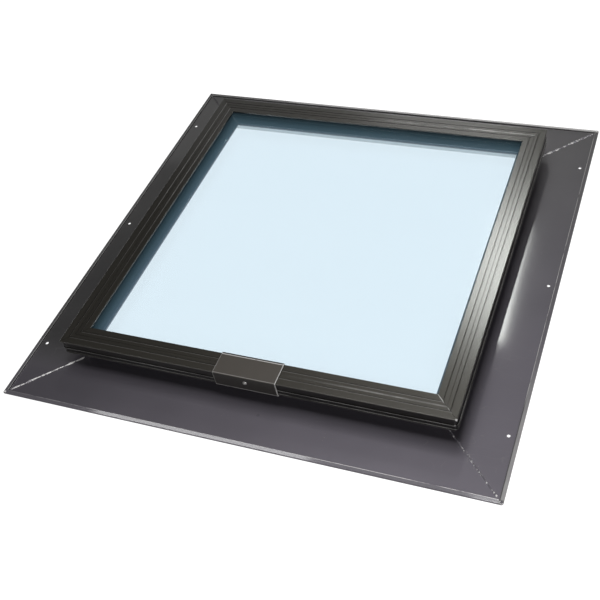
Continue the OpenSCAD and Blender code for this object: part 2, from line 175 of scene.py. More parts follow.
class Finish(Nodes):
    """A material being made, with the nodes that most finishes share."""

    def __init__(self, name):
        self.material = bpy.data.materials.new(name)
        self.material.use_nodes = True
        super().__init__(self.material.node_tree)
        self.place = self.node("ShaderNodeTexCoord", out="Object")
        self.x, self.y, self.z = self.split(self.place)
        self.across = abs(self.x)
        self.along = abs(self.y)
        self.outward = self.across.most(self.along)

    def split(self, vector):
        """The three parts of a vector."""
        parts = self.node("ShaderNodeSeparateXYZ", inputs={0: vector}).socket.node
        return [Wire(self, socket) for socket in parts.outputs]

    def upward(self):
        """How far the surface faces up, from -1 to 1."""
        return self.split(self.node("ShaderNodeNewGeometry", out="Normal"))[2]

    def stretched(self, factors):
        """The place on the object, scaled by a factor on each axis."""
        return self.node("ShaderNodeVectorMath", {"operation": "MULTIPLY"}, {0: self.place, 1: factors})

    def noise(self, scale, detail=2.0, place=None, seed=0.0):
        """Noise from 0 to 1 with that many cycles to the metre."""
        shifted = place or self.place
        if seed:
            shifted = self.node("ShaderNodeVectorMath", {"operation": "ADD"}, {0: shifted, 1: (seed,) * 3})
        return self.node("ShaderNodeTexNoise", inputs={"Vector": shifted, "Scale": scale, "Detail": detail})

    def brushed(self, side_rail, along, over, detail):
        """Noise drawn out along each rail, with its cycles to the metre along the rail and over it."""
        on_x = self.noise(1.0, detail, self.stretched((along, over, over)))
        on_y = self.noise(1.0, detail, self.stretched((over, along, over)))
        return on_x + side_rail * (on_y - on_x)

    def dots(self, scale):
        """Distance to the nearest of many scattered points, in cells."""
        return self.node("ShaderNodeTexVoronoi", inputs={"Vector": self.place, "Scale": scale})

    def blend(self, factor, low, high):
        """A colour between two colours."""
        settings = {"data_type": "RGBA", "clamp_factor": True}
        return self.node("ShaderNodeMix", settings, {0: factor, 6: low, 7: high}, out=2)

    def bump(self, height, depth, strength, under=None):
        """A Normal from a height of 0 to 1 that is that many metres deep."""
        values = {"Height": height, "Distance": depth, "Strength": strength}
        if under:
            values["Normal"] = under
        return self.node("ShaderNodeBump", inputs=values)

    def ends_in(self, shader):
        """The finished material."""
        self.node("ShaderNodeOutputMaterial", inputs={"Surface": shader})
        return self.material

    def surface(self, **sockets):
        """Ends the material in one Principled shader. Underscores in the names stand for blanks."""
        values = {name.replace("_", " "): value for name, value in sockets.items()}
        return self.ends_in(self.node("ShaderNodeBsdfPrincipled", inputs=values))


def tone(colour, share):
    """A colour made lighter or darker."""
    return tuple(part * share for part in colour[:3]) + (1.0,)


def full(colour):
    """A colour with its alpha."""
    return tuple(colour[:3]) + (1.0,)


# Settings

class SkylightColours(bpy.types.PropertyGroup):
    """Colours of the finishes."""

    flashing: FloatVectorProperty(
        name="Flashing", description="Coating of the folded sheet", subtype="COLOR",
        default=(0.143, 0.132, 0.155), min=0, max=1)
    weathered: FloatVectorProperty(
        name="Weathered flashing", description="Coating where its tint has faded", subtype="COLOR",
        default=(0.143, 0.140, 0.139), min=0, max=1)
    bare_metal: FloatVectorProperty(
        name="Bare metal", description="Cut edges, welds and worn places", subtype="COLOR",
        default=(0.62, 0.61, 0.60), min=0, max=1)
    reverse: FloatVectorProperty(
        name="Reverse", description="Pale wash coat on the back of the folded sheet", subtype="COLOR",
        default=(0.86, 0.86, 0.85), min=0, max=1)
    bronze: FloatVectorProperty(
        name="Bronze", description="Anodised frame", subtype="COLOR",
        default=(0.040, 0.036, 0.029), min=0, max=1)
    clip: FloatVectorProperty(
        name="Clip", description="Satin clip over the frame joint", subtype="COLOR",
        default=(0.046, 0.038, 0.030), min=0, max=1)
    glass: FloatVectorProperty(
        name="Glass", description="Sheen on the faces of the glass", subtype="COLOR",
        default=(0.28, 0.50, 0.62), min=0, max=1)
    glass_clear: FloatVectorProperty(
        name="Clear glass", description="What one face of the glass lets through", subtype="COLOR",
        default=(0.9365, 0.9655, 0.982), min=0, max=1)
    glass_edge: FloatVectorProperty(
        name="Glass edge", description="Cut edge of the panes", subtype="COLOR",
        default=(0.02, 0.10, 0.10), min=0, max=1)
    spacer: FloatVectorProperty(
        name="Spacer", description="Bars between the panes", subtype="COLOR",
        default=(0.070, 0.077, 0.085), min=0, max=1)
    rubber: FloatVectorProperty(
        name="Rubber", description="Seals, gasket and blocks", subtype="COLOR",
        default=(0.018, 0.018, 0.02), min=0, max=1)
    keys: FloatVectorProperty(
        name="Keys", description="Plugs in the corners of the spacer bars", subtype="COLOR",
        default=(0.35, 0.36, 0.37), min=0, max=1)
    drying_fill: FloatVectorProperty(
        name="Drying fill", description="Beads in the spacer bars", subtype="COLOR",
        default=(0.70, 0.62, 0.48), min=0, max=1)
    floor: FloatVectorProperty(
        name="Floor", description="Studio floor", subtype="COLOR",
        default=(0.17, 0.17, 0.17), min=0, max=1)


class SkylightSizes(bpy.types.PropertyGroup):
    """Shape of the welds and clearness of the glass."""

    glass_cover: FloatProperty(
        name="Glass cover", description="How much of what lies behind it one face hides", subtype="FACTOR",
        default=0.05, min=0, max=1)
    weld_ripple: FloatProperty(
        name="Weld ripple", description="Length of one ripple of the corner welds", subtype="DISTANCE",
        unit="LENGTH", default=2.4 * MM, min=0.5 * MM)
    weld_width: FloatProperty(
        name="Weld width", description="Widest part of the corner welds", subtype="DISTANCE",
        unit="LENGTH", default=3.6 * MM, min=1 * MM)
    seed: IntProperty(
        name="Seed", description="Start of the random draws", default=7)


class SkylightStage(bpy.types.PropertyGroup):
    """Camera and studio."""

    camera_place: FloatVectorProperty(
        name="Camera place", description="Where the camera stands", subtype="XYZ", unit="LENGTH",
        default=(0.5452, -1.0069, 1.0991))
    camera_turn: FloatVectorProperty(
        name="Camera turn", description="Turn of the camera about X, Y and Z", subtype="EULER",
        unit="ROTATION", default=tuple(math.radians(a) for a in (44.119, 7.702, 19.009)))
    camera_shift: FloatVectorProperty(
        name="Camera shift", description="Shift of the picture, in picture widths", size=2,
        default=(-0.0779, -0.0433))
    lens: FloatProperty(
        name="Lens", description="Focal length on a 36 mm sensor, in millimetres", unit="CAMERA",
        default=57.46)
    far_light: FloatProperty(
        name="Far light", description="Power of the narrow panel beyond the head side", unit="POWER",
        default=10.8)
    top_light: FloatProperty(
        name="Top light", description="Power of the narrow panel above the left side", unit="POWER",
        default=4)
    over_light: FloatProperty(
        name="Over light", description="Power of the wide panel overhead", unit="POWER",
        default=17)
    fore_light: FloatProperty(
        name="Fore light", description="Power of the panel above the near right corner", unit="POWER",
        default=20)
    rear_light: FloatProperty(
        name="Rear light", description="Power of the dim panel beyond the far light", unit="POWER",
        default=3.2)
    side_light: FloatProperty(
        name="Side light", description="Power of the close light on the right", unit="POWER",
        default=10)
    front_light: FloatProperty(
        name="Front light", description="Power of the soft light before the left side", unit="POWER",
        default=1.6)
    back_light: FloatProperty(
        name="Back light", description="Power of the low pale wall beyond the head side", unit="POWER",
        default=8)
    corner_light: FloatProperty(
        name="Corner light", description="Power of the dim panel beyond the far left corner", unit="POWER",
        default=1.2)
    room: FloatProperty(
        name="Room", description="Strength of the dim room round the lights", default=0.05, min=0)


# Flashing. Each pair gives where a mask is 0 and where it is 1, in metres.

HEM_OUTWARD = (HEM_INNER - 0.8 * MM, HEM_INNER - 0.6 * MM)
HEM_HEIGHT = (1.5 * MM, 1.7 * MM)
HEM_CUT_OUTWARD = (HEM_INNER + 0.8 * MM, HEM_INNER + 0.6 * MM)
HEM_LINE_X = (HEM_INNER + 1.8 * MM, HEM_INNER + 1.2 * MM)
NEAR_HEM_Y = (0.6 * MM - HEM_INNER, -HEM_INNER)
RIM_HEIGHT = (HEM_TOP - 0.22 * MM, HEM_TOP - 0.12 * MM)
RIM_DULL_X = (-0.2, -0.38)
RIGHT_HEM_PALER_Y = (-0.1, -0.3)
RIGHT_HEM_DARK_Y = (-0.2, -0.24)
FAR_HEM_HIGHLIGHT_X = (-0.1, 0.15)
NEAR_HEM_DARK_X = (0.05, 0.25)
LEFT_FLANGE_X = (-0.3, -0.32)
LEFT_FLANGE_Y = (-0.36, -0.24)
LEFT_PALER_Y = (-0.2, 0.1)
NEAR_LEFT_X = (-0.1, -0.35)
NEAR_LEFT_Y = (-0.3, -0.34)
FADED_Y = (-0.15, 0.4)
REVERSE_HEIGHT = (31.5 * MM, 31.0 * MM)
REVERSE_REACH = 0.4 * MM
SEAM_REACH = (9 * MM, 1 * MM)
SPOT = (20 * MM, -332 * MM, SHEET)
SPOT_REACH = (3.2 * MM, 1.6 * MM)
PEEL_DEPTH = 0.02 * MM
WAVE_DEPTH = 0.6 * MM


def sheet_paint(f, colours, dust):
    """Colour of the coat: faded towards the head, with painted shade on the left flange and the near left
    corner, and with mottling, dust and scratches.
    """
    left = f.x.rise(*LEFT_FLANGE_X) * f.y.rise(*LEFT_FLANGE_Y)
    faded = (0.7 * f.y.rise(*FADED_Y)).most(left)
    # Painted shade: the coat is darker on the left flange, most towards its near end, and a little at the
    # near left corner.
    dim = left * (0.45 - 0.25 * f.y.rise(*LEFT_PALER_Y))
    dim = dim.most(0.15 * f.x.rise(*NEAR_LEFT_X) * f.y.rise(*NEAR_LEFT_Y))
    hairlines = f.noise(31, 2, f.stretched((0.35, 1.0, 1.0)), seed=1.7).near(0.5, 0.006)
    scratches = hairlines * f.noise(6, 2, seed=5.3).rise(0.52, 0.66)
    paint = f.blend(faded, full(colours.flashing), full(colours.weathered))
    paint = f.blend(0.28 * f.noise(9, 4) + dim, paint, tone(colours.flashing, 0.1))
    paint = f.blend(0.5 * dust, paint, tone(colours.bare_metal, 0.45))
    return f.blend(0.2 * scratches, paint, tone(colours.bare_metal, 0.35))


def hem_paint(f, colours, paint, hem):
    """The paint with paler hems, a painted highlight on the far hem, painted shade on the near hem and a
    painted shadow line on the right hem, and the mask of the hem's bare rim.
    """
    right = hem * f.x.rise(*HEM_OUTWARD)
    near = hem * f.y.rise(*NEAR_HEM_Y)
    far = hem * f.y.rise(*HEM_OUTWARD)
    # Hems are paler: a little from rubbing everywhere, more towards the near end of the right hem, and on
    # the far hem a painted highlight.
    paler_hem = 0.1 * hem - 0.08 * near + 0.6 * right * f.y.rise(*RIGHT_HEM_PALER_Y)
    paler_hem = paler_hem + 0.6 * far * f.x.rise(*FAR_HEM_HIGHLIGHT_X)
    uneven = 1 + 0.8 * (f.noise(40, 3, seed=7.7) - 0.5)
    paint = f.blend(paler_hem * uneven, paint, tone(colours.bare_metal, 0.7))
    # Painted shadow: a dark line along the inner edge of the right hem near its near end, and painted shade
    # on the right part of the near hem.
    right_dark = right * f.y.rise(*RIGHT_HEM_DARK_Y)
    dark = (0.8 * right_dark * f.x.rise(*HEM_LINE_X)).most(0.3 * near * f.x.rise(*NEAR_HEM_DARK_X))
    paint = f.blend(dark, paint, tone(colours.flashing, 0.1))
    rim = hem * f.z.rise(*RIM_HEIGHT) * f.noise(55, 3, seed=9.1).rise(0.3, 0.5)
    return paint, rim * (1 - 0.8 * f.x.rise(*RIM_DULL_X)) * (1 - right_dark)


def flashing_finish(colours):
    """Dark coated sheet with a soft gloss, dust, spatter, paler hems with painted shade and a painted
    highlight, painted shade at the left, bare cut edges and a pale reverse.
    """
    f = Finish("coated_sheet")
    level = abs(f.upward())
    hem = f.outward.rise(*HEM_OUTWARD) * f.z.rise(*HEM_HEIGHT)
    cut = hem * level.rise(0.6, 0.5) * f.outward.rise(*HEM_CUT_OUTWARD)
    reverse = f.outward.near(WALL_INNER, REVERSE_REACH) * f.z.rise(*REVERSE_HEIGHT) * level.rise(0.6, 0.4)
    dust = f.dots(260).rise(0.16, 0.06) * f.noise(23, 2, seed=3.1).rise(0.56, 0.72)
    seam = abs(f.across - f.along).rise(*SEAM_REACH)
    spatter = f.dots(420).rise(0.3, 0.12) * seam * f.noise(160, 2, seed=2.2).rise(0.5, 0.62)
    from_spot = f.node("ShaderNodeVectorMath", {"operation": "DISTANCE"}, {0: f.place, 1: SPOT}, out=1)
    paint, rim = hem_paint(f, colours, sheet_paint(f, colours, dust), hem)
    paint = f.blend(cut.most(0.7 * rim), paint, full(colours.bare_metal))
    paint = f.blend(reverse, paint, full(colours.reverse))
    paint = f.blend(0.35 * from_spot.rise(*SPOT_REACH), paint, tone(colours.flashing, 0.4))
    paint = f.blend(0.8 * spatter, paint, tone(colours.bare_metal, 0.6))
    peel = f.bump(f.noise(700, 2), PEEL_DEPTH, 0.25)
    return f.surface(
        Base_Color=paint,
        Roughness=0.5 + 0.08 * (f.noise(14, 3, seed=8.8) - 0.5),
        Metallic=0.78 - 0.35 * hem - 0.78 * reverse,
        Coat_Weight=1 - 0.8 * dust.most(spatter).most(rim).most(reverse) - 0.15 * hem,
        Coat_Roughness=0.07,
        Coat_IOR=1.5,
        Normal=f.bump(f.noise(7, 1, seed=4.4), WAVE_DEPTH, 0.5, peel),
    )


def weld_finish(name, colours, bare_and_shade_share):
    """Rough bead, partly coated: the share of it that shows bare metal differs from corner to corner, and
    the coat is darker where that share is low, as painted shade at the far left corner.
    """
    f = Finish(name)
    flecks = 0.6 * f.noise(420, 3, seed=6.6) + 0.4 * f.noise(130, 2, seed=2.6)
    bare = flecks.rise(0.66 - 0.28 * bare_and_shade_share, 0.72 - 0.28 * bare_and_shade_share)
    grain = f.noise(900, 3)
    metal = f.blend(grain, tone(colours.bare_metal, 0.9), tone(colours.bare_metal, 1.5))
    # The coat's tone follows the bare share and is darkest at the far left corner, where it is painted shade
    # on the seam.
    coat = f.blend(grain, tone(colours.flashing, bare_and_shade_share), tone(colours.flashing, 0.1 + 2.3 * bare_and_shade_share))
    return f.surface(
        Base_Color=f.blend(bare, coat, metal),
        Roughness=0.62 - 0.2 * bare * grain,
        Metallic=bare * 0.15,
        Normal=f.bump(grain, 0.15 * MM, 0.7),
    )


# Frame. Ridges and grooves are measured inward from its outer edge, beads and bends upward from the floor.

FINE_RIDGE = 18.4 * MM
RIDGE_REACH = 1.9 * MM
OUTER_GROOVE = 11.8 * MM
INNER_GROOVE = 25.2 * MM
GROOVE_REACH = 1.5 * MM
BEAD_MIDDLE = 40.0 * MM
BEAD_REACH = 0.8 * MM
BEAD_OUTWARD = (FRAME_HALF - 1.6 * MM, FRAME_HALF - 1.2 * MM)
BEAD_BRIGHT_X = (-0.1, 0.3)
FOOT_BEND = 31.5 * MM
FOOT_REACH = 0.6 * MM
LIP_HEIGHT = (FRAME_TOP - 2.2 * MM, FRAME_TOP - 1.6 * MM)
SKIRT_HEIGHT = (FRAME_TOP - 3 * MM, FRAME_TOP - 4 * MM)
NEAR_SIDE_Y = (0, -0.1)
BURR_REACH = (0.9 * MM, 0.4 * MM)
BURR_X = (-0.4, 0.2)
TIP_OUTWARD = (FRAME_HALF - 3.2 * MM, FRAME_HALF - 1.4 * MM)
TIP_X = (0, 0.1)
FAR_RIDGE_X = (-0.02, 0.06)
NEAR_RIDGE_X = (0.02, 0.28)
LEFT_RAIL_X = (0, -0.1)
LEFT_GROOVE_Y = (-0.2, 0.1)
BRUSH_DEPTH = 0.02 * MM


def frame_wear_and_highlights(f, side_rail, near_side, streak):
    """Bare metal at the burrs of the near corners, and bare metal as painted highlights: a glint at the near
    right tip and lines on ridges, groove floors and beads.
    """
    lip = f.z.rise(*LIP_HEIGHT)
    patchy = 0.35 + 0.65 * (0.5 * streak + 0.5 * f.noise(24, 3, seed=4.2)).rise(0.38, 0.58)
    burr = abs(f.across - f.along).rise(*BURR_REACH) * lip * near_side
    burr = burr * f.noise(70, 2, seed=3.0).rise(0.45, 0.6) * f.x.rise(*BURR_X)
    # Painted glint: bare metal at the tip of the near right corner.
    tip = f.across.least(f.along).rise(*TIP_OUTWARD) * lip * near_side * f.x.rise(*TIP_X)
    far_right = (1 - near_side) * f.x.rise(*FAR_RIDGE_X)
    # Painted highlights: patchy light lines on the fine ridge of the near and far rails, strongest on the
    # far rail's right part.
    ridge_highlight = (1 - side_rail) * (0.5 * near_side * f.x.rise(*NEAR_RIDGE_X) + far_right)
    ridge = f.outward.near(FRAME_HALF - FINE_RIDGE, RIDGE_REACH) * ridge_highlight * lip * patchy
    left_rail = side_rail * f.x.rise(*LEFT_RAIL_X)
    # Painted highlights: lighter groove floors on the near and far rails, more at the far right, and on the
    # left rail towards its far end.
    groove_highlight = (1 - side_rail) * (0.15 + 0.15 * far_right)
    groove_highlight = groove_highlight + left_rail * (0.08 + 0.36 * f.y.rise(*LEFT_GROOVE_Y))
    grooves = f.outward.near(FRAME_HALF - OUTER_GROOVE, GROOVE_REACH)
    grooves = grooves.most(f.outward.near(FRAME_HALF - INNER_GROOVE, GROOVE_REACH))
    grooves = grooves * groove_highlight * lip * (0.5 + 0.5 * patchy)
    # Painted highlights: light lines on the skirt's bead and foot bend, brighter towards the right.
    bead_highlight = f.outward.rise(*BEAD_OUTWARD) * patchy * (0.55 + 0.3 * f.x.rise(*BEAD_BRIGHT_X))
    beads = f.z.near(BEAD_MIDDLE, BEAD_REACH).most(f.z.near(FOOT_BEND, FOOT_REACH)) * bead_highlight
    return burr.most(tip).most(ridge).most(grooves).most(beads)


def frame_finish(colours):
    """Anodised bronze, brushed along each rail, bare at burrs, with painted highlights in bare metal and
    painted shade on the near skirt.
    """
    f = Finish("brushed_bronze")
    side_rail = f.across > f.along
    near_side = f.y.rise(*NEAR_SIDE_Y)
    skirt = f.z.rise(*SKIRT_HEIGHT) * near_side
    brush = f.brushed(side_rail, along=14, over=2600, detail=3)
    streak = f.brushed(side_rail, along=5, over=260, detail=2)
    metal = f.blend(0.5 * brush + 0.5 * streak, tone(colours.bronze, 0.72), tone(colours.bronze, 1.25))
    # Painted shade: the near skirt is darkened.
    metal = f.blend(0.6 * skirt, metal, tone(colours.bronze, 0.1))
    # Bare metal at burrs, and bare metal laid on as painted highlights and a glint.
    wear_and_highlights = frame_wear_and_highlights(f, side_rail, near_side, streak)
    return f.surface(
        Base_Color=f.blend(wear_and_highlights, metal, full(colours.bare_metal)),
        Roughness=0.42 + 0.12 * streak + 0.1 * (brush - 0.5),
        Metallic=1 - 0.7 * wear_and_highlights,
        Coat_Weight=(1 - wear_and_highlights) * (1 - 0.4 * skirt),
        Coat_Roughness=0.21,
        Coat_IOR=1.78,
        Normal=f.bump(brush, BRUSH_DEPTH, 0.6),
    )


# Clip and screw

CLIP_FACE = (CLIP_FRONT - 0.3 * MM, CLIP_FRONT - 0.1 * MM)
CLIP_UPPER = (CLIP_TOP - 1.0 * MM, CLIP_TOP - 0.6 * MM)
CLIP_HOOK = (CLIP_INNER + 2.9 * MM, CLIP_INNER + 2.5 * MM)
CLIP_INNER_BEND = CLIP_INNER + 3.7 * MM
CLIP_INNER_BEND_REACH = 1.1 * MM
CLIP_FRONT_BEND = CLIP_FRONT - 1.2 * MM
CLIP_FRONT_BEND_REACH = 0.7 * MM
CLIP_LOW_BEND = (CLIP_LOW + 3.0 * MM, CLIP_LOW + 2.4 * MM)
CLIP_RIGHT_END = (CLIP_HALF - 1.1 * MM, CLIP_HALF - 0.7 * MM)
CLIP_LEFT_END = (0.7 * MM - CLIP_HALF, 0.4 * MM - CLIP_HALF)


def clip_finish(colours):
    """Satin sheet with painted shade on its front and hook, and bare metal laid on as painted highlights
    along its bends and cut ends.
    """
    f = Finish("satin_clip")
    fine = f.noise(1.0, 3, f.stretched((40, 1800, 1800)))
    cloud = f.noise(28, 3, seed=2.0)
    sheet = f.blend(0.6 * cloud + 0.4 * fine, tone(colours.clip, 0.85), tone(colours.clip, 1.15))
    # Painted shade: the front face and the hook are darkened.
    sheet = f.blend(f.along.rise(*CLIP_FACE), sheet, tone(colours.clip, 0.3))
    sheet = f.blend(f.along.rise(*CLIP_HOOK), sheet, tone(colours.clip, 0.2))
    # Painted highlights: bare metal lines along the inner, front and low bends, and on the cut ends,
    # brighter at the right end.
    front_bend = 0.35 * f.along.near(CLIP_FRONT_BEND, CLIP_FRONT_BEND_REACH)
    bends = f.along.near(CLIP_INNER_BEND, CLIP_INNER_BEND_REACH).most(front_bend) * f.z.rise(*CLIP_UPPER)
    bends = bends.most(0.35 * f.z.rise(*CLIP_LOW_BEND))
    ends = f.x.rise(*CLIP_RIGHT_END).most(0.4 * f.x.rise(*CLIP_LEFT_END))
    bare = bends.most(ends) * f.noise(90, 3, seed=1.1).rise(0.2, 0.4)
    return f.surface(
        Base_Color=f.blend(bare, sheet, full(colours.bare_metal)),
        Roughness=0.42 + 0.1 * cloud - 0.1 * bare,
        Metallic=bare * 0.3,
        IOR=1.55,
        Normal=f.bump(fine, 0.01 * MM, 0.4),
    )


def screw_finish(colours):
    """Plated steel with a dull turned face."""
    f = Finish("plated_steel")
    grain = f.noise(1600, 3)
    return f.surface(
        Base_Color=f.blend(grain, tone(colours.bare_metal, 0.55), tone(colours.bare_metal, 0.95)),
        Roughness=0.28 + 0.2 * grain,
        Metallic=0.9,
        Normal=f.bump(grain, 0.03 * MM, 0.4),
    )


# Glass unit and rubber

SLOT_PITCH = 5 * MM
SLOT_REACH = (0.5 * MM, 0.3 * MM)


def glass_finish(colours, cover):
    """Clear pane with a light blue tint and sheen, a deep teal cut edge and faint wiping marks."""
    f = Finish("tinted_glass")
    edge = abs(f.upward()).rise(0.6, 0.3)
    wipe = f.noise(1.0, 3, f.stretched((3, 26, 26)))
    sheen = f.node("ShaderNodeBsdfPrincipled", inputs={
        "Base Color": f.blend(edge, full(colours.glass), full(colours.glass_edge)),
        "Roughness": 0.06 + 0.08 * wipe,
        "IOR": 1.5,
        "Specular IOR Level": 0.2,
    })
    through = f.node("ShaderNodeBsdfTransparent", inputs={"Color": full(colours.glass_clear)})
    share = cover + 0.006 * (wipe - 0.5) + edge * (0.8 - cover)
    return f.ends_in(f.node("ShaderNodeMixShader", inputs={0: share, 1: through, 2: sheen}))


def rubber_finish(name, colour):
    """Matt rubber with a fine moulded grain."""
    f = Finish(name)
    grain = f.noise(1100, 3)
    return f.surface(
        Base_Color=f.blend(grain, tone(colour, 0.75), tone(colour, 1.3)),
        Roughness=0.72 + 0.14 * (grain - 0.5),
        Normal=f.bump(grain, 0.04 * MM, 0.4),
    )


def spacer_finish(colours):
    """Dark anodised bar with fine dark slots across it, through which the drying fill breathes."""
    f = Finish("spacer_bar")
    side_bar = f.across > f.along
    run = f.x + side_bar * (f.y - f.x)
    slot = run.maths("PINGPONG", run, SLOT_PITCH / 2).rise(*SLOT_REACH)
    grain = f.noise(1.0, 2, f.stretched((300, 300, 1500)))
    bar = f.blend(grain, tone(colours.spacer, 0.85), tone(colours.spacer, 1.2))
    return f.surface(
        Base_Color=f.blend(0.7 * slot, bar, tone(colours.rubber, 0.5)),
        Roughness=0.42 + 0.1 * grain,
        Metallic=0.6,
    )


def grain_finish(name, colour, scale, rough):
    """Plain finish with an even grain, for pieces that only show when the unit is taken apart."""
    f = Finish(name)
    grain = f.noise(scale, 3)
    return f.surface(
        Base_Color=f.blend(grain, tone(colour, 0.75), tone(colour, 1.2)),
        Roughness=rough + 0.1 * (grain - 0.5),
        Normal=f.bump(grain, 0.05 * MM, 0.5),
    )


def floor_finish(colours):
    """White studio floor that glows, so that no shade shows on it."""
    f = Finish("studio_floor")
    return f.surface(
        Base_Color=f.blend(f.noise(30, 2), tone(colours.floor, 0.99), full(colours.floor)),
        Roughness=0.9,
        Specular_IOR_Level=0.0,
        Emission_Color=WHITE,
        Emission_Strength=1.0,
    )


# Pieces

def dress(material, *nodes):
    """Gives CAD nodes a finish."""
    for node in nodes:
        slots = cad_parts[node].data.materials
        slots.clear()
        slots.append(material)


def smooth_by_angle(piece, degrees):
    """Smooth shading that keeps edges sharper than an angle."""
    piece.data.polygons.foreach_set("use_smooth", [True] * len(piece.data.polygons))
    piece.data.set_sharp_from_angle(angle=math.radians(degrees))


def piece_from(name, build, material, node):
    """A new piece whose mesh is made by build, in place of a CAD node."""
    shape = bmesh.new()
    build(shape)
    bmesh.ops.recalc_face_normals(shape, faces=shape.faces)
    mesh = bpy.data.meshes.new(name)
    shape.to_mesh(mesh)
    shape.free()
    mesh.materials.append(material)
    piece = bpy.data.objects.new(name, mesh)
    bpy.context.scene.collection.objects.link(piece)
    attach(piece, BODY)
    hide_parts(node)
    return piece


def loft(shape, rings):
    """Skins rings of points, each ring closed, into one tube with closed ends."""
    made = [[shape.verts.new(p) for p in ring] for ring in rings]
    count = len(rings[0])
    for low, high in zip(made, made[1:]):
        for i in range(count):
            j = (i + 1) % count
            shape.faces.new((low[i], low[j], high[j], high[i]))
    shape.faces.new(list(reversed(made[0])))
    shape.faces.new(made[-1])


class Skylight:
    """What the operators share."""

    bl_options = {"REGISTER", "UNDO"}


class SKYLIGHT_OT_flashing(Skylight, bpy.types.Operator):
    """Finishes the four folded lengths of flashing"""

    bl_idname = "skylight.flashing"
    bl_label = "Flashing"

    def execute(self, context):
        finish = flashing_finish(context.scene.skylight_colours)
        dress(finish, *("flashing_" + side for side in SIDES))
        return {"FINISHED"}


